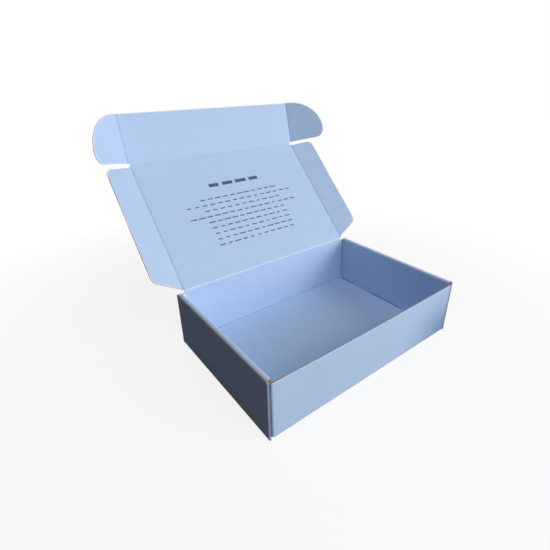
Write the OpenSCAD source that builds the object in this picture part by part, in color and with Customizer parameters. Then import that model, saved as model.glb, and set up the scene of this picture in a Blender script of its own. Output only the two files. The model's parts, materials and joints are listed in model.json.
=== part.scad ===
// Mailer box folded from one die-cut sheet of corrugated board, standing with its lid open.
// Frame: the origin is on the underside of the floor, in the middle of the tray. X runs along
// the hinge, the front wall is towards -Y, the back wall with the lid towards +Y, and Z is up.

/* [Box] */
// Width over the two rolled side walls
box_w = 270; // [200:1:360]
// Depth over the front and back walls
box_d = 178; // [140:1:240]
// Height of the rolled side walls
box_h = 68; // [55:1:90]
// How far the front wall stops below the rolled walls
front_drop = 3.5; // [2.5:0.1:8]

/* [Board] */
// Thickness of the board
board = 1.5; // [1:0.05:1.8]
// Inside radius of a square fold
fold_r = 0.4; // [0.2:0.05:0.6]
// Inside radius of the four upright corner folds
corner_r = 1; // [0.6:0.1:1.5]
// Air between two layers of a rolled wall
layer_gap = 0.7; // [0.25:0.05:1]
// Air round the rounded edge of a hinged panel
crease_gap = 0.25; // [0.2:0.05:0.4]

/* [Rolled side walls] */
// Gap between the floor and the foot of each panel that stands over it
foot_gap = 0.8; // [0.5:0.1:1.2]
// Gap between the ends of an inner panel and the front and back walls
end_gap = 0.8; // [0.5:0.1:1.2]
// How far the roll's flat top stops short of the front and back faces
web_short = 2.4; // [1.8:0.1:4]
// Length of a locking tab
tab_l = 31.5; // [20:0.5:40]
// Distance between the centres of the two tabs of a wall
tab_pitch = 86; // [60:1:95]
// Lead-in at the corners of a tab
tab_lead = 1.2; // [0.5:0.1:1.8]
// Air round a tab in its floor slot
slot_gap = 0.3; // [0.25:0.05:0.6]
// Height of a tab's tip over the surface that the box stands on
tab_rise = 0.2; // [0.1:0.05:0.5]
// Length of the corner flaps that the rolls trap
trap_l = 56; // [40:1:62]
// Taper at the free end of a trapped flap
trap_taper = 9; // [4:1:14]

/* [Lid] */
// Angle of the lid from shut
lid_open = 135; // [100:1:180]
// Gap between the front wall and the tuck flap of a shut box
tuck_gap = 1.5; // [0.5:0.1:3]

/* [Dust flaps] */
// Width of a dust flap
dust_w = 34; // [24:1:48]
// Fold of the left dust flap from the lid's plane
left_dust_fold = 18; // [0:1:40]
// Fold of the right dust flap from the lid's plane
right_dust_fold = 21; // [0:1:40]
// Gap between a dust flap and an ear in a shut box
dust_gap = 0.3; // [0.3:0.05:0.8]
// Start of a dust flap, from the hinge
dust_start = 2; // [1.2:0.1:4]
// End of a dust flap, from the tuck flap's crease
dust_end = 2.8; // [1.5:0.1:5]
// Slant of the edge near the hinge
dust_slant = 15; // [4:1:18]
// Slant of the edge near the tuck flap
dust_end_slant = 5; // [2:1:12]
// Corner radius near the hinge
dust_r = 10; // [4:1:14]
// Corner radius near the tuck flap
dust_end_r = 9; // [4:1:14]

/* [Tuck flap and ears] */
// Length of the tuck flap
tuck_l = 61; // [45:1:63]
// Fold of the tuck flap from the lid's plane
tuck_fold = 32; // [0:1:50]
// Width of an ear
ear_w = 54; // [40:1:60]
// Fold of the ears from the tuck flap's plane
ear_fold = 40; // [0:1:60]
// Gap between a rolled wall and an ear in a shut box
ear_gap = 0.25; // [0.2:0.05:0.6]
// Start of an ear at its crease, from the tuck flap's crease
ear_start = 2.5; // [2:0.1:4]
// Start of an ear at its outer side, from the tuck flap's crease
ear_start_out = 4; // [3:0.1:8]
// Radius of an ear's outer corner next to the lid
ear_r = 12; // [6:1:18]

/* [Hidden] */
$fn = 48;
paper = [0.62, 0.73, 0.90];
// Outside radius of a square fold and of an upright corner fold
fold_out = fold_r + board;
corner_out = corner_r + board;
// A rolled wall is three layers thick: outer panel, trapped corner flap and inner panel
roll_w = 3 * board + 2 * layer_gap;
inner_half = box_w / 2 - roll_w;
trap_x = box_w / 2 - board - layer_gap;
wall_half = trap_x - corner_out;
front_h = box_h - front_drop;
// The back corner flaps pass under the roll's flat top
shoulder_h = box_h - board - layer_gap;
foot_z = board + foot_gap;
// The lid's crease stands over the back wall, and its length shuts the tuck flap inside the front
hinge_y = box_d / 2 - board / 2;
hinge_z = box_h + board / 2 + crease_gap;
lid_l = box_d - 2 * board - tuck_gap;
// In a shut box each rolled wall is followed inwards by an ear and then by a dust flap
ear_x = inner_half - ear_gap - board / 2;
dust_x = ear_x - board - dust_gap;
// A panel stops this far from the crease of the flap that it carries
crease_back = board / 2 + crease_gap;
lid_half = dust_x - crease_back;
tuck_half = ear_x - crease_back;
// Points on an arc of an outline
arc_steps = 12;

function unit(v) = v / norm(v);

// The arc of radius r that rounds corner b between its neighbours a and c
function round_corner(a, b, c, r) =
    let (
        u = unit(a - b),
        v = unit(c - b),
        half = acos(u * v) / 2,
        centre = b + unit(u + v) * r / sin(half),
        from = b + u * r / tan(half) - centre,
        to = b + v * r / tan(half) - centre,
        start = atan2(from.y, from.x),
        turn = (atan2(to.y, to.x) - start + 540) % 360 - 180
    )
    [for (i = [0:arc_steps]) let (t = start + turn * i / arc_steps) centre + r * [cos(t), sin(t)]];

// Outline of a dust flap: along the crease, then away from it
function dust_outline() =
    let (
        near = dust_start,
        far = lid_l - dust_end,
        points = [[near, 0], [near + dust_slant, dust_w], [far - dust_end_slant, dust_w], [far, 0]]
    )
    concat(
        [points[0]],
        round_corner(points[0], points[1], points[2], dust_r),
        round_corner(points[1], points[2], points[3], dust_end_r),
        [points[3]]
    );

// Outline of an ear: a straight edge next to the lid, a round corner and a quarter ellipse
function ear_outline() =
    let (
        round_s = ear_start_out + ear_r,
        corner = [ear_start_out, ear_w],
        arc = round_corner([ear_start_out, 0], corner, [tuck_l, ear_w], ear_r)
    )
    concat(
        [[ear_start, 0]],
        arc,
        [for (t = [75:-7.5:0]) [round_s + (tuck_l - round_s) * cos(t), ear_w * sin(t)]]
    );

// Section of the board round a square fold with its two sides along X and Y
module fold_section(inside) {
    intersection() {
        difference() {
            circle(r = inside + board);
            circle(r = inside);
        }
        square(inside + board);
    }
}

// Hinged panel: the outline lies in the XY plane, and the crease is the X axis,
// where the edge is rounded so that it can turn
module leaf(outline, from, to) {
    translate([0, 0, -board / 2])
        linear_extrude(board) polygon(outline);
    translate([from, 0, 0])
        rotate([90, 0, 90])
            linear_extrude(to - from)
                intersection() {
                    circle(r = board / 2);
                    translate([-board, -board / 2]) square([board, board]);
                }
}

// Rectangle from the crease, as wide as twice its half
function panel_outline(half, length) = [[-half, 0], [half, 0], [half, length], [-half, length]];

// Frame of the lid: X across, Y away from the hinge, Z on the lid's inner side
module on_lid() {
    translate([0, hinge_y, hinge_z])
        rotate([180 - lid_open, 0, 0])
            children();
}

// Frame of the tuck flap, in the same order
module on_tuck() {
    on_lid()
        translate([0, lid_l, 0])
            rotate([tuck_fold, 0, 0])
                children();
}

// Turns a panel so that its crease runs along Y at +x and it folds inwards by the angle
module on_side(x, angle) {
    translate([x, 0, 0])
        rotate([0, -angle, 0])
            mirror([1, -1, 0])
                children();
}

// Floor with the slots that take the locking tabs
module floor_panel() {
    slot_l = tab_l + 2 * slot_gap;
    difference() {
        translate([fold_out - box_w / 2, fold_out - box_d / 2, 0])
            cube([box_w - 2 * fold_out, box_d - 2 * fold_out, board]);
        for (side = [-1, 1], along = [-1, 1])
            translate([side * (inner_half + board / 2), along * tab_pitch / 2, board / 2])
                cube([board + 2 * slot_gap, slot_l, 2 * board], center = true);
    }
}

// Upright wall along X with the fold that joins it to the floor, outer face at Y = 0
module wall_with_fold(half, height) {
    translate([-half, 0, 0])
        rotate([90, 0, 90])
            linear_extrude(2 * half) {
                translate([fold_out, fold_out]) rotate(180) fold_section(fold_r);
                translate([0, fold_out]) square([board, height - fold_out]);
            }
}

// Corner fold and the flap that turns in behind the side panel, on the +X side
module trapped_flap(top) {
    translate([wall_half, corner_out, foot_z])
        rotate(-90)
            linear_extrude(top - foot_z) fold_section(corner_r);
    translate([trap_x, corner_out, 0])
        rotate([90, 0, 90])
            translate([0, 0, -board])
                linear_extrude(board)
                    polygon([
                        [0, foot_z], [trap_l - trap_taper, foot_z], [trap_l, foot_z + trap_taper],
                        [trap_l, top - trap_taper], [trap_l - trap_taper, top], [0, top]
                    ]);
}

// Front or back wall with its two trapped flaps, outer face at Y = 0 and the inside at +Y
module cross_wall(height, flap_top) {
    wall_with_fold(wall_half, height);
    trapped_flap(flap_top);
    mirror([1, 0, 0]) trapped_flap(flap_top);
}

// Section of a rolled side wall, X from its outer face inwards and Y up
module outer_section() {
    translate([fold_out, fold_out]) rotate(180) fold_section(fold_r);
    translate([0, fold_out]) square([board, box_h - 2 * fold_out]);
}
module top_section() {
    translate([fold_out, box_h - fold_out]) rotate(90) fold_section(fold_r);
    translate([fold_out, box_h - board]) square([roll_w - 2 * fold_out, board]);
    translate([roll_w - fold_out, box_h - fold_out]) fold_section(fold_r);
}

// Extrudes a section along the depth, centred
module along_depth(length) {
    translate([0, length / 2, 0])
        rotate([90, 0, 0])
            linear_extrude(length) children();
}

// Inner panel of a roll as seen from the side, with its two tabs pointing down
module inner_outline() {
    half = box_d / 2 - board - end_gap;
    translate([-half, foot_z]) square([2 * half, box_h - fold_out - foot_z]);
    for (along = [-1, 1])
        translate([along * tab_pitch / 2, 0])
            polygon([
                [-tab_l / 2, foot_z], [-tab_l / 2, tab_rise + tab_lead],
                [tab_lead - tab_l / 2, tab_rise], [tab_l / 2 - tab_lead, tab_rise],
                [tab_l / 2, tab_rise + tab_lead], [tab_l / 2, foot_z]
            ]);
}

// Rolled side wall: up from the floor, over the flat top and down inside to the floor slots.
// Its outer face is at X = 0 and the inside at +X
module rolled_wall() {
    along_depth(box_d) outer_section();
    along_depth(box_d - 2 * web_short) top_section();
    translate([roll_w, 0, 0])
        rotate([90, 0, 90])
            translate([0, 0, -board])
                linear_extrude(board) inner_outline();
    // The outer panel's ends rise beside the flat top, with their corners cut off
    for (end = [-1, 1])
        scale([1, end, 1])
            translate([0, box_d / 2 - web_short, box_h - fold_out])
                rotate([90, 0, 90])
                    linear_extrude(board)
                        polygon([
                            [0, 0], [web_short, 0], [web_short / 2, fold_out - fold_r],
                            [0, fold_out - fold_r]
                        ]);
}

// Floor, front and back walls and rolled side walls, all one folded sheet
module tray() {
    color(paper) {
        floor_panel();
        translate([0, -box_d / 2, 0]) cross_wall(front_h, front_h);
        translate([0, box_d / 2, 0])
            mirror([0, 1, 0]) {
                cross_wall(shoulder_h, shoulder_h);
                // Edge that carries the lid
                translate([-lid_half, 0, shoulder_h])
                    cube([2 * lid_half, board, box_h - shoulder_h]);
            }
        translate([-box_w / 2, 0, 0]) rolled_wall();
        translate([box_w / 2, 0, 0]) mirror([1, 0, 0]) rolled_wall();
    }
}

module lid() {
    color(paper)
        on_lid()
            leaf(panel_outline(lid_half, lid_l - crease_back), -lid_half, lid_half);
}

module tuck_flap() {
    color(paper)
        on_tuck()
            leaf(panel_outline(tuck_half, tuck_l), -lid_half, lid_half);
}

module ear() {
    on_side(ear_x, ear_fold)
        leaf(ear_outline(), ear_start, tuck_l - crease_back);
}

module right_ear() {
    color(paper) on_tuck() ear();
}

module left_ear() {
    color(paper) on_tuck() mirror([1, 0, 0]) ear();
}

module dust_flap(angle) {
    on_side(dust_x, angle)
        leaf(dust_outline(), dust_start, lid_l - dust_end);
}

module right_dust_flap() {
    color(paper) on_lid() dust_flap(right_dust_fold);
}

module left_dust_flap() {
    color(paper) on_lid() mirror([1, 0, 0]) dust_flap(left_dust_fold);
}

tray();
lid();
tuck_flap();
left_ear();
right_ear();
left_dust_flap();
right_dust_flap();
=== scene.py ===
import json
import math

import bmesh
import bpy
import numpy as np
from mathutils import Matrix, Quaternion, Vector


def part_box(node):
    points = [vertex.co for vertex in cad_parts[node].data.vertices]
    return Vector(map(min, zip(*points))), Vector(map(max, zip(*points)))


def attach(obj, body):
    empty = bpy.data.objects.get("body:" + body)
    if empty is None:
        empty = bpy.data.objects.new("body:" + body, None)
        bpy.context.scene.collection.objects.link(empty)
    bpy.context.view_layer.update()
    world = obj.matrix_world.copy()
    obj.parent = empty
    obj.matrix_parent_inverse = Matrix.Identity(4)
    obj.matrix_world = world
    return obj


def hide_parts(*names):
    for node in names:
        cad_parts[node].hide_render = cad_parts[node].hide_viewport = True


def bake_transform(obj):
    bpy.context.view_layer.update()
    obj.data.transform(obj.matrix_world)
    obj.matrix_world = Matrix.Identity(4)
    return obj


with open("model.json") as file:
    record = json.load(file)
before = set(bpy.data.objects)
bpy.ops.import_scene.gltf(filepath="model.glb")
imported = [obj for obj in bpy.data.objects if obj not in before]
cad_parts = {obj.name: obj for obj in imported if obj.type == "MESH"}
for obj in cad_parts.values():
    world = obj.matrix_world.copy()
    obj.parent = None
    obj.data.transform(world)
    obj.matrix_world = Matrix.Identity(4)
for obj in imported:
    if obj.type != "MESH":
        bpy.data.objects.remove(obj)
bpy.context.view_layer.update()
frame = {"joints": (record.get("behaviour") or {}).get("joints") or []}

# Floor
# The middle panel of one die-cut sheet of E-flute board: two printed liners glued to a fluted
# medium, with the flutes from front to back. Its four slots hold the tabs of the rolled walls.
MM = 0.001
board = 1.5
liner = 0.2
layer_gap = 0.7
fold_reach = 1.95
past_fold = board / 2 + fold_reach
slot_w = 1.8
slot_l = 31.8
slot_pitch = 86
tray_low, tray_high = (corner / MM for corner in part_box("tray"))
box_w = tray_high.x - tray_low.x
box_d = tray_high.y - tray_low.y
box_h = tray_high.z
roll_w = 3 * board + 2 * layer_gap
inner_panel_x = box_w / 2 - roll_w + board / 2


def add_node(tree, kind, inputs, **settings):
    """Adds a node, sets it up, and fills its inputs with values or links."""
    node = tree.nodes.new(kind)
    for name, value in settings.items():
        setattr(node, name, value)
    for key, value in inputs.items():
        if isinstance(value, bpy.types.NodeSocket):
            tree.links.new(value, node.inputs[key])
        else:
            node.inputs[key].default_value = value
    return node


def calculate(tree, operation, first, second=0.0):
    """One Math node's result."""
    return add_node(tree, "ShaderNodeMath", {0: first, 1: second}, operation=operation).outputs[0]


def noise(tree, place, size_mm, detail, stretch=(1, 1, 1)):
    """Noise with spots of about the given size, on coordinates in metres."""
    scaled = add_node(tree, "ShaderNodeMapping", {"Vector": place, "Scale": stretch})
    return add_node(
        tree, "ShaderNodeTexNoise",
        {"Vector": scaled.outputs[0], "Scale": 1 / (size_mm * MM), "Detail": detail},
    ).outputs["Fac"]


def ramp(tree, value, low, high, least=0.0, most=1.0):
    """Maps a value from low..high to least..most, smoothly and clamped."""
    return add_node(
        tree, "ShaderNodeMapRange",
        {"Value": value, "From Min": low, "From Max": high, "To Min": least, "To Max": most},
        interpolation_type="SMOOTHSTEP",
    ).outputs["Result"]


def mix(tree, share, first, second):
    """Mixes two colours."""
    node = add_node(tree, "ShaderNodeMix", {"Factor": share}, data_type="RGBA")
    for key, colour in (("A", first), ("B", second)):
        socket = next(s for s in node.inputs if s.name == key and s.type == "RGBA")
        if isinstance(colour, bpy.types.NodeSocket):
            tree.links.new(colour, socket)
        else:
            socket.default_value = (*colour, 1)
    return next(s for s in node.outputs if s.type == "RGBA")


def new_paper(name, rough):
    """A matt paper material, with its shader and the coordinates that its pattern reads."""
    material = bpy.data.materials.new(name)
    material.use_nodes = True
    tree = material.node_tree
    shader = tree.nodes["Principled BSDF"]
    shader.inputs["Roughness"].default_value = rough
    shader.inputs["Specular IOR Level"].default_value = 0.3
    place = add_node(tree, "ShaderNodeTexCoord", {}).outputs["Object"]
    return material, tree, shader, place


def add_relief(tree, shader, height, strength, depth_mm):
    """Gives a paper the fine relief of its fibres."""
    bump = add_node(
        tree, "ShaderNodeBump",
        {"Height": height, "Strength": strength, "Distance": depth_mm * MM},
    )
    tree.links.new(bump.outputs[0], shader.inputs["Normal"])


def printed_liner():
    """Pale blue ink on the liner, with cloudy formation and fine fibres. Its marks follow three
    attributes and are a little speckled: deep blue for painted shade and a painted shadow, a
    mauve-grey tint on one fold, and pale at a rim that the die or a fold stretched, which is
    partly a painted highlight."""
    blue = (0.492, 0.643, 0.880)
    deep_blue = (0.477, 0.630, 0.872)
    fibre_light = (0.532, 0.672, 0.890)
    # Deep blue of the painted shade in creases, folds and under the rolled walls, and of a painted
    # shadow.
    painted_shade_blue = (0.11, 0.215, 0.43)
    tint_mauve = (0.50, 0.47, 0.53)
    # Pale of ink stretched at a cut or a fold, which is partly a painted highlight.
    rim_pale = (0.79, 0.87, 0.98)
    material, tree, shader, place = new_paper("Printed liner", 0.8)
    cloud = noise(tree, place, size_mm=14, detail=3)
    fibre = noise(tree, place, size_mm=0.5, detail=4, stretch=(1, 0.45, 0.45))
    grain = noise(tree, place, size_mm=0.12, detail=2)
    spots = noise(tree, place, size_mm=1.3, detail=4)
    colour = mix(tree, ramp(tree, cloud, 0.3, 0.7), deep_blue, blue)
    colour = mix(tree, ramp(tree, fibre, 0.55, 0.8, 0, 0.35), colour, fibre_light)
    for attribute, low, high, between_spots, tone in (
        # Painted shade and shadow in deep blue; the pale rim is partly a painted highlight.
        ("painted_shade", 0.0, 1.0, 0.8, painted_shade_blue),
        ("mauve_tint", 0.0, 1.0, 0.45, tint_mauve),
        ("rim", 0.18, 0.6, 0.45, rim_pale),
    ):
        mark = add_node(tree, "ShaderNodeAttribute", {}, attribute_name=attribute).outputs["Fac"]
        speckle = ramp(tree, spots, 0.35, 0.6, between_spots, 1.0)
        share = calculate(tree, "MULTIPLY", ramp(tree, mark, low, high), speckle)
        colour = mix(tree, share, colour, tone)
    tree.links.new(colour, shader.inputs["Base Color"])
    tree.links.new(ramp(tree, fibre, 0.3, 0.7, 0.74, 0.88), shader.inputs["Roughness"])
    height = calculate(tree, "ADD", fibre, calculate(tree, "MULTIPLY", grain, 0.5))
    add_relief(tree, shader, height, strength=0.35, depth_mm=0.04)
    return material


def kraft(name, light, dark):
    """Unprinted paper with fibres along the flutes and a few darker shives."""
    material, tree, shader, place = new_paper(name, 0.9)
    fibre = noise(tree, place, size_mm=0.6, detail=4, stretch=(1, 0.3, 0.3))
    shive = ramp(tree, noise(tree, place, size_mm=1.1, detail=2), 0.62, 0.7)
    colour = mix(tree, ramp(tree, fibre, 0.3, 0.7), dark, light)
    colour = mix(tree, calculate(tree, "MULTIPLY", shive, 0.5), colour, dark)
    tree.links.new(colour, shader.inputs["Base Color"])
    add_relief(tree, shader, fibre, strength=0.5, depth_mm=0.06)
    return material


liner_paper = printed_liner()
cut_paper = kraft("Cut liner edge", (0.74, 0.74, 0.75), (0.52, 0.50, 0.50))
# The medium is darker than its kraft: painted shade for the deep flute channels.
medium_paper = kraft("Kraft medium", (0.20, 0.155, 0.16), (0.11, 0.08, 0.085))


def new_tree(name, inputs):
    """A Geometry Nodes tree with named inputs for each kind of socket, and what they give."""
    tree = bpy.data.node_groups.new(name, "GeometryNodeTree")
    for kind, names in inputs.items():
        for socket in names:
            tree.interface.new_socket(socket, in_out="INPUT", socket_type="NodeSocket" + kind)
    tree.interface.new_socket("Geometry", in_out="OUTPUT", socket_type="NodeSocketGeometry")
    return tree, tree.nodes.new("NodeGroupInput").outputs


def coordinates(tree):
    """The x, y and z of each point."""
    place = add_node(tree, "GeometryNodeInputPosition", {}).outputs[0]
    return add_node(tree, "ShaderNodeSeparateXYZ", {0: place}).outputs


def paint(tree, geometry, material, selection=True):
    """Gives the selected faces a material."""
    return add_node(
        tree, "GeometryNodeSetMaterial",
        {"Geometry": geometry, "Selection": selection, "Material": material},
    ).outputs[0]


def corrugation():
    """Geometry Nodes that turn a flat blank in the XY plane into board with flutes along Y: two
    liners, which ripple a little over the flutes, and the fluted medium. The attribute rim says
    where the flutes are pinched."""
    tree, given = new_tree("Corrugated board", {
        "Geometry": ("Blank",),
        "Float": ("Board", "Liner", "Medium", "Pitch", "Washboard", "Pinch"),
        "Material": ("Printed", "Cut edge", "Core"),
    })
    merge_gap = 0.002
    rim = add_node(tree, "GeometryNodeInputNamedAttribute", {"Name": "rim"}).outputs[0]
    turns = calculate(tree, "DIVIDE", coordinates(tree)[0], given["Pitch"])
    wave = calculate(tree, "SINE", calculate(tree, "MULTIPLY", turns, 2 * math.pi))
    ripple = calculate(tree, "MULTIPLY", wave, given["Washboard"])
    squeeze = calculate(tree, "SUBTRACT", 1.0, calculate(tree, "MULTIPLY", given["Pinch"], rim))
    half_board = calculate(tree, "MULTIPLY", given["Board"], 0.5)
    half_medium = calculate(tree, "MULTIPLY", given["Medium"], 0.5)
    inner = calculate(tree, "SUBTRACT", half_board, given["Liner"])
    inner = calculate(tree, "MULTIPLY", inner, squeeze)
    crest = calculate(tree, "SUBTRACT", inner, half_medium)
    crest = calculate(tree, "ADD", crest, given["Washboard"])

    def layer(height, thickness, up, material):
        """One closed paper that grows up or down from a height, and which of its faces is free."""
        lift = add_node(tree, "ShaderNodeCombineXYZ", {2: height})
        base = add_node(
            tree, "GeometryNodeSetPosition", {"Geometry": given["Blank"], "Offset": lift.outputs[0]}
        ).outputs[0]
        turned = add_node(tree, "GeometryNodeFlipFaces", {"Mesh": base}).outputs[0]
        front, back = (base, turned) if up else (turned, base)
        push = add_node(tree, "ShaderNodeCombineXYZ", {2: 1.0 if up else -1.0})
        grown = add_node(
            tree, "GeometryNodeExtrudeMesh",
            {"Mesh": front, "Offset": push.outputs[0], "Offset Scale": thickness,
             "Individual": False},
            mode="FACES",
        )
        both = tree.nodes.new("GeometryNodeJoinGeometry")
        for part in (grown.outputs["Mesh"], back):
            tree.links.new(part, both.inputs[0])
        closed = add_node(
            tree, "GeometryNodeMergeByDistance",
            {"Geometry": both.outputs[0], "Distance": merge_gap},
        ).outputs[0]
        return paint(tree, closed, material), grown.outputs["Top"]

    upper, upper_face = layer(
        calculate(tree, "ADD", inner, ripple), given["Liner"], True, given["Cut edge"]
    )
    lower, lower_face = layer(
        calculate(tree, "SUBTRACT", ripple, inner), given["Liner"], False, given["Cut edge"]
    )
    fluted = calculate(tree, "SUBTRACT", calculate(tree, "MULTIPLY", wave, crest), half_medium)
    core, _ = layer(fluted, given["Medium"], True, given["Core"])
    sheet = tree.nodes.new("GeometryNodeJoinGeometry")
    for part in (upper, lower, core):
        tree.links.new(part, sheet.inputs[0])
    real = add_node(tree, "GeometryNodeRealizeInstances", {"Geometry": sheet.outputs[0]}).outputs[0]
    outside = add_node(
        tree, "FunctionNodeBooleanMath", {0: upper_face, 1: lower_face}, operation="OR"
    ).outputs[0]
    printed = paint(tree, real, given["Printed"], outside)
    tree.links.new(printed, tree.nodes.new("NodeGroupOutput").inputs[0])
    return tree


corrugated_board = corrugation()
flute = {"Board": board, "Liner": liner, "Medium": 0.16, "Pitch": 3.4, "Washboard": 0.012,
         "Pinch": 0.16, "Printed": liner_paper, "Cut edge": cut_paper, "Core": medium_paper}
columns_per_flute = 8
too_close = 0.015
row_spacing = 18
edge_rows = (0.35, 1.0, 2.2)
edge_rows_from = 8
rim_reach = 0.9
# A weaker pale rim for cuts that lie in the shade.
hidden_rim = 0.2
targets_at_once = 200
sides = {"left": np.s_[0, :], "right": np.s_[-1, :], "near": np.s_[:, 0], "far": np.s_[:, -1]}


def blank_columns(near, far, away):
    """Places u of a blank's columns: evenly over each flute, at each corner and at each cut-out."""
    step = flute["Pitch"] / columns_per_flute
    clear_steps = 0.3
    first = near[0, 0]
    last = near[-1, 0]
    start = math.ceil(first / step + clear_steps)
    stop = math.floor(last / step - clear_steps)
    even = np.arange(start, stop + 1) * step
    cuts = [u for box in away for u in box[:2] if first < u < last]
    u = np.unique(np.round(np.concatenate([even, near[:, 0], far[:, 0], cuts]), 4))
    return u[np.concatenate([[True], np.diff(u) > too_close])]


def blank_rows(low, high, stops):
    """Places v of the rows on each column, with a few more beside the near and the far edge."""
    knots = np.column_stack([low, *(np.full_like(low, stop) for stop in stops), high])
    last = knots.shape[1] - 2
    rows = [knots[:, :1]]
    for k in range(last + 1):
        run = knots[:, k + 1] - knots[:, k]
        length = np.max(run)
        shares = list(np.linspace(0, 1, max(2, round(length / row_spacing)) + 1))
        if length > edge_rows_from and k == 0:
            shares += [edge / length for edge in edge_rows]
        if length > edge_rows_from and k == last:
            shares += [1 - edge / length for edge in edge_rows]
        rows.append(knots[:, k:k + 1] + run[:, None] * np.array(sorted(shares)[1:]))
    return np.hstack(rows)


def cut_points(kept, joined):
    """Which grid points the die cut passes: those beside a missing face, but on no joined side."""
    around = np.pad(kept.astype(int), 1)
    faces = around[:-1, :-1] + around[1:, :-1] + around[:-1, 1:] + around[1:, 1:]
    cut = (faces > 0) & (faces < 4)
    for side in joined:
        cut[sides[side]] = False
    return cut


def nearest(points, targets):
    """Each point's distance to the nearest target, with some targets at a time to save memory."""
    distance = np.full(len(points), np.inf)
    for chunk in np.array_split(targets, max(1, len(targets) // targets_at_once)):
        if len(chunk):
            gap = np.linalg.norm(points[:, None] - chunk[None], axis=2).min(1)
            distance = np.minimum(distance, gap)
    return distance


def write_mark(mesh, attribute, values):
    """Writes a mark's strength at each point, for the printed liner to read."""
    layer = mesh.attributes.new(attribute, "FLOAT", "POINT")
    layer.data.foreach_set("value", np.ascontiguousarray(values, np.float32))


def cut_blank(name, near, far, stops=(), away=(), joined=(), crushed=1.0):
    """Flat grid between two edges, each a list of points (u, v) with u rising. Its columns run
    along the flutes. stops are rows to keep, away are rectangles (u0, u1, v0, v1) cut out, and
    joined names the sides that go on into a fold. crushed is the mark rim on a cut edge."""
    near = np.array(near, float)
    far = np.array(far, float)
    u = blank_columns(near, far, away)
    v = blank_rows(np.interp(u, *near.T), np.interp(u, *far.T), stops)
    middle_u = (u[:-1, None] + u[1:, None]) / 2
    middle_v = (v[:-1, :-1] + v[1:, :-1] + v[:-1, 1:] + v[1:, 1:]) / 4
    kept = np.ones(middle_v.shape, bool)
    for u0, u1, v0, v1 in away:
        kept &= ~((middle_u > u0) & (middle_u < u1) & (middle_v > v0) & (middle_v < v1))
    tall = v.shape[1]
    points = np.column_stack([np.repeat(u, tall), v.ravel()])
    from_cut = nearest(points, points[cut_points(kept, joined).ravel()])
    i, j = np.nonzero(kept)
    corner = i * tall + j
    quads = np.column_stack([corner, corner + tall, corner + tall + 1, corner + 1])
    used, fresh = np.unique(quads, return_inverse=True)
    flat = np.column_stack([points[used], np.zeros(len(used))])
    mesh = bpy.data.meshes.new(name)
    mesh.from_pydata(flat.tolist(), [], fresh.reshape(quads.shape).tolist())
    # Pale rim along the cut, partly a painted highlight.
    write_mark(mesh, "rim", crushed * np.exp(-from_cut[used] / rim_reach))
    return mesh


def shade_under_rolls(blank):
    """Paints deep blue shade where the rolled walls' inner panels cover a panel and keep the light
    off.
    """
    inset = 0.2
    shade_x = inner_panel_x - board / 2 + inset
    write_mark(blank, "painted_shade", [abs(vertex.co.x) > shade_x for vertex in blank.vertices])
    return blank


def run_nodes(name, mesh, tree, sizes):
    """Runs a Geometry Nodes tree on a mesh and keeps the result as a plain mesh."""
    piece = bpy.data.objects.new(name, mesh)
    bpy.context.scene.collection.objects.link(piece)
    modifier = piece.modifiers.new(tree.name, "NODES")
    modifier.node_group = tree
    for socket in tree.interface.items_tree:
        if socket.in_out == "INPUT" and socket.name in sizes:
            modifier[socket.identifier] = sizes[socket.name]
    graph = bpy.context.evaluated_depsgraph_get()
    result = bpy.data.meshes.new_from_object(
        piece.evaluated_get(graph), preserve_all_data_layers=True, depsgraph=graph
    )
    piece.modifiers.remove(modifier)
    piece.data = result
    return piece


def lay(mesh, origin, across, along):
    """Moves a mesh from the XY plane in millimetres to its place in the frame."""
    across = Vector(across).normalized()
    along = Vector(along).normalized()
    turn = Matrix((across, along, across.cross(along))).transposed().to_4x4()
    mesh.transform(Matrix.Scale(MM, 4) @ Matrix.Translation(origin) @ turn)


def smooth(mesh):
    """Smooths the shading of all but the sharp edges."""
    sharp_from = math.radians(40)
    mesh.shade_smooth()
    mesh.set_sharp_from_angle(angle=sharp_from)


def make_board(name, blank, origin, across, along, **sizes):
    """Corrugates a blank and puts it in the frame. across and along are the directions of its u
    and its v, and sizes are those that differ from the usual flute."""
    piece = run_nodes(name, blank, corrugated_board, {**flute, **sizes})
    lay(piece.data, origin, across, along)
    smooth(piece.data)
    return piece


def join(name, parts):
    """Joins the parts of one panel into one piece."""
    with bpy.context.temp_override(active_object=parts[0], selected_editable_objects=parts):
        bpy.ops.object.join()
    parts[0].name = name
    return parts[0]


floor_x = box_w / 2 - past_fold
floor_y = box_d / 2 - past_fold
slots = [
    (side - slot_w / 2, side + slot_w / 2, along - slot_l / 2, along + slot_l / 2)
    for side in (-inner_panel_x, inner_panel_x)
    for along in (-slot_pitch / 2, slot_pitch / 2)
]
slot_ends = sorted({end for slot in slots for end in slot[2:]})
blank = cut_blank(
    "floor", [(-floor_x, -floor_y), (floor_x, -floor_y)], [(-floor_x, floor_y), (floor_x, floor_y)],
    slot_ends, slots, ("left", "right", "near", "far"), hidden_rim,
)
floor = make_board(
    "floor_panel", shade_under_rolls(blank), (0, 0, board / 2), (1, 0, 0), (0, 1, 0)
)
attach(floor, "tray")
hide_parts("tray")

# Front wall
# The sheet's front panel, folded up over a crushed crease. The open ends of the flutes show at
# its die-cut top edge. Its ends go on round two upright folds into flaps that the rolled walls
# trap. In the pairs of values, -1 is the left side and 1 the right.
front_drop = 3.5
wall_top = box_h - front_drop
foot = 2.3
corner_reach = 3.5
corner_radius = {-1: 3.2, 1: 1.4}
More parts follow.
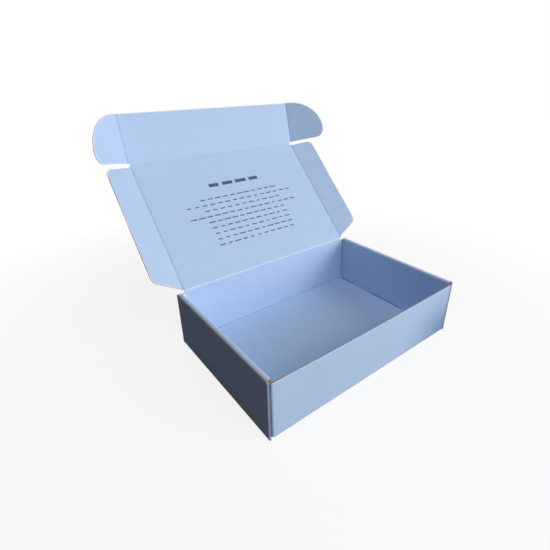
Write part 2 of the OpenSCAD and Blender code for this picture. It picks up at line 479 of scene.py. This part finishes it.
# Painted shade in the left upright corner fold, and none in the right.
corner_dark = {-1: 0.9, 1: 0.0}
slack = {-1: layer_gap, 1: 0.25}
trap_x = {side: side * (box_w / 2 - board - slack[side] - board / 2) for side in slack}
wall_x = {side: trap_x[side] - side * corner_reach for side in slack}
left = wall_x[-1]
right = wall_x[1]
trap_l = 55.4
trap_corner = 9
floor_fold_radius = 1.15
bow = 1.1
bow_rise = 1.5
# A painted shadow, darkest at the foot of the front wall's right end.
shadow_reach = 80
shadow_squeeze = {"x": 0.7, "z": 0.9}
shadow_dark = 0.85
shadow_fade = 1.3
crush = 0.22
crush_reach = 0.8
tint_reach = 1.6
# Width of each fold's dark line of painted shade.
shade_reach_least = 0.25
shade_reach_of_radius = 0.4
uneven = 0.4
uneven_waves = ((0.25, 0.31, 0), (0.2, 0.83, 1))
bump_steps = 6
plain_steps = 24


def round_folds(path, radius, steps=8):
    """Rounds each corner of a path. Gives its points, how far each is from the middle of its
    fold, and which fold that is."""
    off_fold = 9.0
    line = [path[0]]
    from_fold = [off_fold]
    fold_of = [0]
    for number, (before, corner, after) in enumerate(zip(path, path[1:], path[2:])):
        a = (before - corner).normalized()
        b = (after - corner).normalized()
        half = a.angle(b) / 2
        centre = corner + (a + b).normalized() * radius / math.sin(half)
        tangent = radius / math.tan(half)
        start = corner + a * tangent - centre
        stop = corner + b * tangent - centre
        turn = start.rotation_difference(stop)
        for share in np.linspace(0, 1, steps + 1):
            arm = start.copy()
            arm.rotate(Quaternion().slerp(turn, share))
            line.append(centre + arm)
            from_fold.append(abs(share - 0.5) * 2 * tangent)
            fold_of.append(number)
    line.append(path[-1])
    from_fold.append(off_fold)
    fold_of.append(number)
    return line, from_fold, fold_of


def unevenness(place):
    """How much harder a crease is pressed at a place along it, as a share."""
    return uneven * sum(
        height * math.sin(place * turn + start) for height, turn, start in uneven_waves
    )


def strip_faces(count, steps):
    """Faces of a strip that has count points round its folds at each of steps + 1 places along
    them, each with four points through the board. Gives each face's paper too: 0 is the printed
    liner, 1 its cut edge and 2 the medium."""
    def index(j, i, k):
        """Number of the point at place j, i round the folds and k through the board."""
        return (j * count + i) * 4 + k

    faces = []
    papers = []
    for j in range(steps):
        for i in range(count - 1):
            a, b = index(j, i, 0), index(j, i + 1, 0)
            c, d = index(j + 1, i + 1, 0), index(j + 1, i, 0)
            faces += [(a, b, c, d), (a + 3, d + 3, c + 3, b + 3)]
            papers += [0, 0]
        for i, turned in ((0, False), (count - 1, True)):
            for k in range(3):
                quad = [index(j, i, k), index(j + 1, i, k), index(j + 1, i, k + 1), index(j, i, k + 1)]
                faces.append(quad[::-1] if turned else quad)
                papers.append(1)
    for j, turned in ((0, True), (steps, False)):
        for i in range(count - 1):
            for k in range(3):
                quad = [index(j, i, k), index(j, i + 1, k), index(j, i + 1, k + 1), index(j, i, k + 1)]
                faces.append(quad if turned else quad[::-1])
                papers.append(2 if k == 1 else 1)
    return faces, papers


def close_strip(mesh):
    """Drops the points that no face uses, turns all faces outwards and smooths the shading."""
    work = bmesh.new()
    work.from_mesh(mesh)
    loose = [vertex for vertex in work.verts if not vertex.link_faces]
    bmesh.ops.delete(work, geom=loose, context="VERTS")
    bmesh.ops.recalc_face_normals(work, faces=work.faces)
    work.to_mesh(mesh)
    work.free()
    smooth(mesh)


def fold_strip(name, path, radius, axis, span, bumps=0.0, mauve_tint=0.0, pale=0.0, dark=0.0, press=crush):
    """Closed strip of board round one or two folds. path holds points in the middle of the
    board, straight to the folds, and span gives where the strip starts and ends along the axis.
    bumps is how far the flutes stand out along the fold, and press the share of its thickness
    that the board loses. worn, pale and dark give each fold's marks, with one value for all or one
    for each: a mauve-grey tint, pale where the ink is stretched, which is partly a painted
    highlight, and a dark line of painted shade."""
    axis = Vector(axis).normalized()
    line, from_fold, fold_of = round_folds([Vector(point) for point in path], radius)
    mauve_tint, pale, dark = (np.broadcast_to(mark, fold_of[-1] + 1) for mark in (mauve_tint, pale, dark))
    shade_reach = shade_reach_least + shade_reach_of_radius * radius
    steps = plain_steps
    if bumps:
        steps = max(2, math.ceil((span[1] - span[0]) / (flute["Pitch"] / bump_steps)))
    points = []
    marks = []
    for place in np.linspace(span[0], span[1], steps + 1):
        ripple = bumps * math.sin(2 * math.pi * place / flute["Pitch"])
        for i, point in enumerate(line):
            tangent = (line[min(i + 1, len(line) - 1)] - line[max(i - 1, 0)]).normalized()
            outwards = tangent.cross(axis)
            crushed = math.exp(-(from_fold[i] / crush_reach) ** 2)
            # Share of the fold's mauve-grey tint and of its pale, which is partly a painted highlight.
            tint_share = math.exp(-(from_fold[i] / tint_reach) ** 2)
            # Share of the dark line of painted shade along the fold.
            painted_shade = math.exp(-(from_fold[i] / shade_reach) ** 2)
            fold = fold_of[i]
            half = board / 2 * (1 - press * crushed * (1 + unevenness(place)))
            for depth in (half, half - liner, liner - half, -half):
                points.append(point + axis * place + outwards * (depth + ripple * crushed))
                marks.append((mauve_tint[fold] * tint_share, pale[fold] * tint_share, dark[fold] * painted_shade))
    faces, papers = strip_faces(len(line), steps)
    mesh = bpy.data.meshes.new(name)
    mesh.from_pydata([point * MM for point in points], [], faces)
    for paper in (liner_paper, cut_paper, medium_paper):
        mesh.materials.append(paper)
    mesh.polygons.foreach_set("material_index", papers)
    for attribute, values in zip(("mauve_tint", "rim", "painted_shade"), np.array(marks).T):
        write_mark(mesh, attribute, values)
    mesh.validate()
    close_strip(mesh)
    piece = bpy.data.objects.new(name, mesh)
    bpy.context.scene.collection.objects.link(piece)
    return piece


def wall_folds(wall_y, inwards, top):
    """Floor fold, corner folds and trapped flaps of the wall whose board has its middle at wall_y.
    inwards is 1 or -1, for the side of Y on which the inside of the box lies."""
    floor_fold = [
        (0, wall_y, past_fold), (0, wall_y, board / 2),
        (0, wall_y + inwards * fold_reach, board / 2),
    ]
    parts = [
        # A dark line of painted shade along the fold at the wall's foot.
        fold_strip("fold", floor_fold, floor_fold_radius, (1, 0, 0), (left, right), bumps=0.05,
                   dark=0.8)
    ]
    flap_y = wall_y + inwards * corner_reach
    for side in (-1, 1):
        corner = [(wall_x[side], wall_y, 0), (trap_x[side], wall_y, 0), (trap_x[side], flap_y, 0)]
        parts.append(
            fold_strip("corner", corner, corner_radius[side], (0, 0, 1), (foot, top),
                       dark=corner_dark[side])
        )
        blank = cut_blank(
            "flap", [(0, foot), (trap_l - trap_corner, foot), (trap_l, foot + trap_corner)],
            [(0, top), (trap_l - trap_corner, top), (trap_l, top - trap_corner)], joined=("left",),
        )
        parts.append(
            make_board("flap", blank, (trap_x[side], flap_y, 0), (0, inwards, 0), (0, 0, 1))
        )
    return parts


def bow_out(places, on_wall):
    """Bows the front wall outwards, most in the middle of its top edge."""
    across = np.clip(1 - (places[:, 0] / (right * MM)) ** 2, 0, None)
    up = np.clip((places[:, 2] / MM - past_fold) / (wall_top - past_fold), 0, 1) ** bow_rise
    places[:, 1] -= bow * MM * across * up * on_wall


def painted_shadow(places, on_wall):
    """How far the painted shadow at the foot of the front wall's right end has darkened each point."""
    across = (places[:, 0] / MM - box_w / 2) * shadow_squeeze["x"]
    up = places[:, 2] / MM * shadow_squeeze["z"]
    near_shadow = np.clip(1 - np.hypot(across, up) / shadow_reach, 0, 1)
    return shadow_dark * near_shadow ** shadow_fade * on_wall


front_y = -box_d / 2 + board / 2
parts = wall_folds(front_y, 1, wall_top)
blank = cut_blank(
    "front", [(left, past_fold), (right, past_fold)], [(left, wall_top), (right, wall_top)],
    joined=("left", "right", "near"),
)
parts.append(make_board("front", blank, (0, front_y, 0), (1, 0, 0), (0, 0, 1)))
front_wall = join("front_wall", parts)
vertices = front_wall.data.vertices
places = np.empty(len(vertices) * 3)
vertices.foreach_get("co", places)
places = places.reshape(-1, 3)
on_wall = places[:, 1] < (front_y + board) * MM
bow_out(places, on_wall)
vertices.foreach_set("co", places.ravel())
# Adds the painted shadow to the wall's painted shade, in the same deep blue.
marks = front_wall.data.attributes["painted_shade"].data
painted_shade = np.empty(len(vertices), np.float32)
marks.foreach_get("value", painted_shade)
marks.foreach_set("value", np.maximum(painted_shade, painted_shadow(places, on_wall)).astype(np.float32))
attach(front_wall, "tray")
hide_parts("tray")

# Back wall
# Like the front wall, but it goes on over the hinge crease into the lid. Its shoulders are cut
# lower beside the crease, so that the rolled walls can pass over them.
joints = {joint["name"]: joint for joint in frame["joints"]}


def crease_place(name):
    """Point on a crease's axis, in millimetres."""
    return Vector(joints[name]["pos_m"]) / MM


hinge_reach = 2.2
hinge = crease_place("lid_crease")
dust_crease_x = crease_place("right_dust_flap_crease").x
crease_back = 1.0
lid_half = dust_crease_x - crease_back
shoulder = box_h - board - layer_gap
ridge = hinge.z - hinge_reach
back_y = box_d / 2 - board / 2
parts = wall_folds(back_y, -1, shoulder)
blank = cut_blank(
    "back", [(left, past_fold), (right, past_fold)], [(left, ridge), (right, ridge)], [shoulder],
    [(left, -lid_half, shoulder, ridge), (lid_half, right, shoulder, ridge)],
    ("left", "right", "near", "far"),
)
parts.append(
    make_board("back", shade_under_rolls(blank), (0, back_y, 0), (1, 0, 0), (0, 0, 1))
)
back_wall = join("back_wall", parts)
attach(back_wall, "tray")
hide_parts("tray")

# Rolled side walls
# Each is one panel of the sheet, rolled up outside, over a flat top and down inside, round the
# corner flaps of the front and back walls. Two tabs at its foot lock it in the floor's slots. The
# top is shorter than the outer panel, whose round horns stand up past its ends.
top_short = 2.4
inner_short = 2.8
inner_foot = 2.9
tab_foot = 0.2
tab_l = 31.5
top_radius = 0.8
horn_rise = 2.3
horn_round = 0.88
horn_shares = (0, 0.3, 0.5, 0.7, 0.85, 1)
# Mauve-grey tint on the left roll's outer fold.
mauve_tint_folds = {-1: (0.75, 0), 1: (0, 0)}
# Pale on the roll tops' folds: stretched ink, and partly a painted highlight.
pale_folds = {-1: (0, 0.42), 1: (1.0, 0.32)}
roll_top = box_h - board / 2
panel_top = roll_top - fold_reach
end_y = box_d / 2
top_y = end_y - top_short
inner_y = end_y - inner_short
tab_ends = [s * slot_pitch / 2 + t * tab_l / 2 for s in (-1, 1) for t in (-1, 1)]
gap_ends = [-inner_y, *tab_ends, inner_y]
horn = [
    (panel_top + horn_rise * t, top_y + top_short * math.sqrt(1 - (horn_round * t) ** 2))
    for t in horn_shares
]
for name, side in (("left_rolled_wall", -1), ("right_rolled_wall", 1)):
    outer_x = side * (box_w / 2 - board / 2)
    inner_x = side * inner_panel_x
    floor_fold = [
        (outer_x, 0, past_fold), (outer_x, 0, board / 2), (outer_x - side * fold_reach, 0, board / 2)
    ]
    over_top = [
        (outer_x, 0, panel_top), (outer_x, 0, roll_top), (inner_x, 0, roll_top),
        (inner_x, 0, panel_top),
    ]
    parts = [
        # A dark line of painted shade along the floor fold.
        fold_strip("fold", floor_fold, floor_fold_radius, (0, 1, 0), (-end_y, end_y), dark=0.42),
        fold_strip("top", over_top, top_radius, (0, 1, 0), (-top_y, top_y),
                   mauve_tint=mauve_tint_folds[side], pale=pale_folds[side]),
    ]
    blank = cut_blank(
        "outer", [(past_fold, -end_y), *((z, -y) for z, y in horn)], [(past_fold, end_y), *horn],
        [-top_y, top_y], [(panel_top, panel_top + horn_rise, -top_y, top_y)], ("left",),
    )
    parts.append(make_board("outer", blank, (outer_x, 0, 0), (0, 0, 1), (0, 1, 0), Core=cut_paper))
    blank = cut_blank(
        "inner", [(tab_foot, -inner_y), (panel_top, -inner_y)],
        [(tab_foot, inner_y), (panel_top, inner_y)], tab_ends,
        [(tab_foot, inner_foot, *ends) for ends in zip(gap_ends[::2], gap_ends[1::2])],
        ("right",), hidden_rim,
    )
    parts.append(make_board("inner", blank, (inner_x, 0, 0), (0, 0, 1), (0, 1, 0)))
    rolled_wall = join(name, parts)
    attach(rolled_wall, "tray")
    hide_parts("tray")

# Lid
# The largest panel after the floor. It turns at a crease over the back wall and stands open,
# leaning back, with the printed inner side to the front.
tuck_crease = crease_place("tuck_flap_crease")
lid_way = (tuck_crease - hinge).normalized()
lid_inner = Vector((1, 0, 0)).cross(lid_way)
lid_l = (tuck_crease - hinge).length
lid_x = dust_crease_x - hinge_reach
lid_near = hinge_reach
lid_far = lid_l - hinge_reach
blank = cut_blank(
    "lid", [(-lid_x, lid_near), (lid_x, lid_near)], [(-lid_x, lid_far), (lid_x, lid_far)],
    joined=("left", "right", "near", "far"),
)
lid = make_board("lid_panel", blank, hinge, (1, 0, 0), lid_way)
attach(lid, "lid")
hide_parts("lid")

# Print inside the lid
# Dark blue ink, printed on the inner liner before the sheet was cut: centred rows of plain short
# bars under a heavier one. The ink is a film with hardly any height.
ink_top = 0.035
ink_below = 0.02
lines_from_hinge = 74
heading_from_hinge = 126


def blue_ink():
    """Matt ink that lets a little of the paper's fibre through."""
    deep_ink = (0.060, 0.085, 0.16)
    thin_ink = (0.11, 0.15, 0.25)
    material, tree, shader, place = new_paper("Dark blue ink", 0.75)
    fibre = noise(tree, place, size_mm=0.5, detail=4)
    colour = mix(tree, ramp(tree, fibre, 0.35, 0.75), deep_ink, thin_ink)
    tree.links.new(colour, shader.inputs["Base Color"])
    return material


def rows_of_bars():
    """Geometry Nodes that lay centred rows of bars with ragged ends in the XY plane."""
    tree, given = new_tree("Rows of bars", {
        "Int": ("Rows", "Cells", "Seed"),
        "Float": ("Row gap", "Cell", "Shortest", "Longest", "Bar height", "Thickness", "Ragged"),
        "Material": ("Ink",),
    })
    wide = calculate(tree, "MULTIPLY", given["Cell"], calculate(tree, "SUBTRACT", given["Cells"], 1))
    tall = calculate(tree, "MULTIPLY", given["Row gap"], calculate(tree, "SUBTRACT", given["Rows"], 1))
    grid = add_node(
        tree, "GeometryNodeMeshGrid",
        {"Size X": wide, "Size Y": tall, "Vertices X": given["Cells"], "Vertices Y": given["Rows"]},
    ).outputs["Mesh"]
    place = coordinates(tree)
    row = calculate(tree, "ROUND", calculate(tree, "DIVIDE", place[1], given["Row gap"]))

    def random(low, high, per=None):
        """Random number, one for each point or one for each value of per."""
        node = add_node(tree, "FunctionNodeRandomValue", {"Seed": given["Seed"]}, data_type="FLOAT")
        floats = [s for s in node.inputs if s.type == "VALUE" and s.name in ("Min", "Max")]
        for socket, value in zip(floats, (low, high)):
            if isinstance(value, bpy.types.NodeSocket):
                tree.links.new(value, socket)
            else:
                socket.default_value = value
        if per is not None:
            tree.links.new(per, node.inputs["ID"])
        return next(s for s in node.outputs if s.type == "VALUE")

    whole_row = 1.001
    half_row = calculate(
        tree, "MULTIPLY", calculate(tree, "MULTIPLY", wide, 0.5),
        calculate(tree, "SUBTRACT", whole_row, random(0.0, given["Ragged"], row)),
    )
    outside = calculate(tree, "GREATER_THAN", calculate(tree, "ABSOLUTE", place[0]), half_row)
    kept = add_node(
        tree, "GeometryNodeDeleteGeometry", {"Geometry": grid, "Selection": outside}, domain="POINT"
    ).outputs[0]
    size = add_node(
        tree, "ShaderNodeCombineXYZ",
        {0: random(given["Shortest"], given["Longest"]), 1: given["Bar height"],
         2: given["Thickness"]},
    ).outputs[0]
    bar = add_node(tree, "GeometryNodeMeshCube", {}).outputs["Mesh"]
    bars = add_node(
        tree, "GeometryNodeInstanceOnPoints", {"Points": kept, "Instance": bar, "Scale": size}
    ).outputs[0]
    real = add_node(tree, "GeometryNodeRealizeInstances", {"Geometry": bars}).outputs[0]
    inked = paint(tree, real, given["Ink"])
    tree.links.new(inked, tree.nodes.new("NodeGroupOutput").inputs[0])
    return tree


bars_tree = rows_of_bars()
lines = {"Rows": 9, "Cells": 17, "Seed": 4, "Row gap": 8.2, "Cell": 11.2, "Shortest": 4.5,
         "Longest": 10.2, "Bar height": 1.5, "Thickness": ink_top + ink_below, "Ragged": 0.4,
         "Ink": blue_ink()}
heading = {**lines, "Rows": 1, "Cells": 4, "Seed": 2, "Cell": 21, "Shortest": 13, "Longest": 19,
           "Bar height": 5.0, "Ragged": 0.0}


def print_bars(name, sizes, from_hinge):
    """Prints rows of bars on the lid, centred at a distance from the hinge."""
    piece = run_nodes(name, bpy.data.meshes.new(name), bars_tree, sizes)
    height = board / 2 + (ink_top - ink_below) / 2
    lay(piece.data, hinge + lid_way * from_hinge + lid_inner * height, (1, 0, 0), lid_way)
    return piece


lid_print = join("lid_print", [
    print_bars("lines", lines, lines_from_hinge), print_bars("heading", heading, heading_from_hinge)
])
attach(lid_print, "lid")

# Tuck flap
# The lid's front edge, folded on at a crease to go down inside the front wall. Its outer edge is
# die-cut, which pinches the board there.
tuck_l = 61
flap_pinch = 0.5
pinched_edge = {"Pinch": flap_pinch, "Core": cut_paper}
ear_crease_x = crease_place("right_ear_crease").x
tuck_way = Vector(joints["left_ear_crease"]["axis"])
tuck_inner = Vector((1, 0, 0)).cross(tuck_way)
tuck_x = ear_crease_x - hinge_reach
blank = cut_blank(
    "tuck", [(-tuck_x, hinge_reach), (tuck_x, hinge_reach)], [(-tuck_x, tuck_l), (tuck_x, tuck_l)],
    joined=("left", "right", "near"),
)
tuck = make_board("tuck_panel", blank, tuck_crease, (1, 0, 0), tuck_way, **pinched_edge)
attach(tuck, "tuck_flap")
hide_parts("tuck_flap")

# Dust flaps
# Narrow flaps on the lid's sides, with slanted ends and round corners, creased inwards a little.
# The flutes run along the crease, so they show at the slanted ends.
dust_w = 34
dust_start = 2
dust_short = 2.8
dust_end = lid_l - dust_short
dust_slant = 15
dust_end_slant = 5
dust_radius = 10
dust_end_radius = 9


def round_corner(a, b, c, radius, steps=12):
    """Points on the arc that rounds corner b between a and c."""
    a, b, c = Vector(a), Vector(b), Vector(c)
    u = (a - b).normalized()
    v = (c - b).normalized()
    half = u.angle(v) / 2
    centre = b + (u + v).normalized() * radius / math.sin(half)
    start, stop = (b + way * radius / math.tan(half) - centre for way in (u, v))
    sweep = start.angle_signed(stop)
    arc = []
    for k in range(steps + 1):
        angle = -sweep * k / steps
        arc.append((
            centre.x + start.x * math.cos(angle) - start.y * math.sin(angle),
            centre.y + start.x * math.sin(angle) + start.y * math.cos(angle),
        ))
    return arc


def trim(edge, start, stop=math.inf):
    """The part of an edge between u = start and u = stop."""
    u, v = np.array(edge).T
    kept = [(a, b) for a, b in edge if start + too_close < a < stop]
    ends = [(end, float(np.interp(end, u, v))) for end in (start, stop) if end < math.inf]
    return [ends[0], *kept, *ends[1:]]


def flap_way(body, side, inner):
    """Direction in which a side flap stands away from its crease, folded inwards as at rest."""
    fold = math.radians(-joints[body + "_crease"]["range_deg"][0])
    return Vector((side, 0, 0)) * math.cos(fold) + inner * math.sin(fold)


near_corner = (dust_w, dust_start + dust_slant)
far_corner = (dust_w, dust_end - dust_end_slant)
dust_near = [
    (0, dust_start), *round_corner((0, dust_start), near_corner, far_corner, dust_radius)
]
dust_far = [
    (0, dust_end), *round_corner((0, dust_end), far_corner, near_corner, dust_end_radius)
]
for body, side in (("left_dust_flap", -1), ("right_dust_flap", 1)):
    away = flap_way(body, side, lid_inner)
    blank = cut_blank(
        body, trim(dust_near, hinge_reach), trim(dust_far, hinge_reach), joined=("left",)
    )
    dust_flap = make_board(
        body + "_panel", blank, crease_place(body + "_crease"), away, lid_way, Pinch=flap_pinch
    )
    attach(dust_flap, body)
    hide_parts(body)

# Ears
# Flaps on the tuck flap's ends, each a quarter of an oval with one small round corner. They slip
# down beside the rolled walls in a shut box.
ear_w = 54
ear_radius = 12
ear_start = 2.5
ear_start_out = 4
ear_tip = ear_w - 0.03
ear_near = [(0, ear_start)] + round_corner(
    (0, ear_start_out), (ear_w, ear_start_out), (ear_w, tuck_l), ear_radius
)
oval_start = ear_start_out + ear_radius
ear_far = [
    (ear_w * math.sin(angle), oval_start + (tuck_l - oval_start) * math.cos(angle))
    for angle in np.radians(np.linspace(0, 90, 31))
]
for body, side in (("left_ear", -1), ("right_ear", 1)):
    away = flap_way(body, side, tuck_inner)
    blank = cut_blank(
        body, trim(ear_near, hinge_reach, ear_tip), trim(ear_far, hinge_reach, ear_tip),
        joined=("left",),
    )
    ear = make_board(
        body + "_panel", blank, crease_place(body + "_crease"), away, tuck_way, **pinched_edge
    )
    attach(ear, body)
    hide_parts(body)

# Creases of the lid and its flaps
# The board is crushed along each crease and bends there again and again. The liners go through
# without a break, squeezed into a shallow groove on both sides. The hinge has a pale band of
# painted highlight, and the other creases a dark line of painted shade.
crease_radius = 1.6
crease_press = 0.34
long_bumps = 0.04
ear_end = tuck_l - 0.1


def hinged_crease(name, first, second, centre, first_way, second_way, axis, span, **marks):
    """Strip of crushed board, bent round the crease between two panels as they stand at rest."""
    path = [centre + first_way * hinge_reach, centre, centre + second_way * hinge_reach]
    strip = fold_strip(name, path, crease_radius, axis, span, press=crease_press, **marks)
    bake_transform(strip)


# The hinge crease's pale band is a painted highlight.
hinged_crease(
    "lid_crease_strip", "tray", "lid", hinge, Vector((0, 0, -1)), lid_way, (1, 0, 0),
    (-lid_half, lid_half), bumps=long_bumps, pale=0.4,
)
# The tuck flap's and side flaps' creases get a dark line of painted shade.
hinged_crease(
    "tuck_crease_strip", "lid", "tuck_flap", tuck_crease, -lid_way, tuck_way, (1, 0, 0),
    (-lid_half, lid_half), bumps=long_bumps, dark=0.13,
)
for side, word in ((-1, "left"), (1, "right")):
    for flap, parent, way, inner, span, dark in (
        ("dust_flap", "lid", lid_way, lid_inner, (lid_near, lid_far), 0.38),
        ("ear", "tuck_flap", tuck_way, tuck_inner, (ear_start, ear_end), 0.36),
    ):
        body = f"{word}_{flap}"
        hinged_crease(
            body + "_crease_strip", parent, body, crease_place(body + "_crease"),
            Vector((-side, 0, 0)), flap_way(body, side, inner), way, span, dark=dark,
        )

# Studio and camera
# A plain pale surface under the box and a white background. A large soft lamp shines from the
# front on the right, a small weak one from above the front, and a weak one from behind.
ground_size = 6.0
ground_drop = 0.0002
glow_at_box = 0.85
glow_from = 0.25
glow_full = 0.9
lit_place = (0, 0, 0.08)


def shows_backdrop(tree):
    """1 for a ray from the camera, off a gloss or through glass, and 0 for one that lights."""
    rays = add_node(tree, "ShaderNodeLightPath", {}).outputs
    seen = calculate(tree, "MAXIMUM", rays["Is Camera Ray"], rays["Is Glossy Ray"])
    return calculate(tree, "MAXIMUM", seen, rays["Is Transmission Ray"])


def white_world():
    """White background that only shows, to the camera and in gloss, and sheds no soft light."""
    world = bpy.data.worlds.new("Studio")
    world.use_nodes = True
    background = world.node_tree.nodes["Background"]
    background.inputs["Color"].default_value = (1, 1, 1, 1)
    world.node_tree.links.new(shows_backdrop(world.node_tree), background.inputs["Strength"])
    return world


def pale_ground():
    """Matt ground that looks nearly white round the box and white further away."""
    material = bpy.data.materials.new("Pale ground")
    material.use_nodes = True
    tree = material.node_tree
    shader = tree.nodes["Principled BSDF"]
    shader.inputs["Base Color"].default_value = (0.10, 0.10, 0.108, 1)
    shader.inputs["Roughness"].default_value = 0.9
    shader.inputs["Emission Color"].default_value = (1, 1, 1, 1)
    place = add_node(tree, "ShaderNodeTexCoord", {}).outputs["Object"]
    away = add_node(tree, "ShaderNodeVectorMath", {0: place}, operation="LENGTH").outputs["Value"]
    white = ramp(tree, away, glow_from, glow_full, glow_at_box, 1.0)
    glow = calculate(tree, "MULTIPLY", shows_backdrop(tree), white)
    tree.links.new(glow, shader.inputs["Emission Strength"])
    return material


def soft_lamp(name, place, size, power):
    """Square area lamp that shines at the box."""
    lamp = bpy.data.objects.new(name, bpy.data.lights.new(name, "AREA"))
    lamp.data.shape = "SQUARE"
    lamp.data.size = size
    lamp.data.energy = power
    lamp.location = place
    lamp.rotation_mode = "QUATERNION"
    lamp.rotation_quaternion = (Vector(lit_place) - Vector(place)).to_track_quat("-Z", "Y")
    lamp.visible_camera = False
    bpy.context.scene.collection.objects.link(lamp)


bpy.context.scene.world = white_world()
half = ground_size / 2
mesh = bpy.data.meshes.new("ground")
mesh.from_pydata(
    [(-half, -half, 0), (half, -half, 0), (half, half, 0), (-half, half, 0)], [], [(0, 1, 2, 3)]
)
mesh.materials.append(pale_ground())
ground = bpy.data.objects.new("ground", mesh)
bpy.context.scene.collection.objects.link(ground)
ground.location.z = -ground_drop
soft_lamp("Key", (1.9, -2.47, 1.26), size=2.2, power=90)
soft_lamp("Fill", (-0.1, -0.57, 0.8), size=0.3, power=3.15)
soft_lamp("Back", (0.7, 2.2, 0.6), size=2.0, power=14)

lens_px = 382.0
centre_px = (281.59, 262.44)
picture_px = 550
sensor_w = 36
camera_at = (-0.2648, -0.2830, 0.2899)
looking = Vector((0.540092, 0.717624, -0.439679))
camera_roll = math.radians(-0.774)
camera = bpy.data.objects.new("Camera", bpy.data.cameras.new("Camera"))
camera.data.sensor_width = sensor_w
camera.data.lens = sensor_w * lens_px / picture_px
camera.data.shift_x = 0.5 - centre_px[0] / picture_px
camera.data.shift_y = centre_px[1] / picture_px - 0.5
camera.data.clip_start = 0.01
camera.data.clip_end = 20
camera.location = camera_at
camera.rotation_mode = "QUATERNION"
roll = Matrix.Rotation(camera_roll, 4, "Z").to_quaternion()
camera.rotation_quaternion = looking.to_track_quat("-Z", "Y") @ roll
bpy.context.scene.collection.objects.link(camera)
bpy.context.scene.camera = camera
bpy.context.scene.view_settings.view_transform = "Standard"
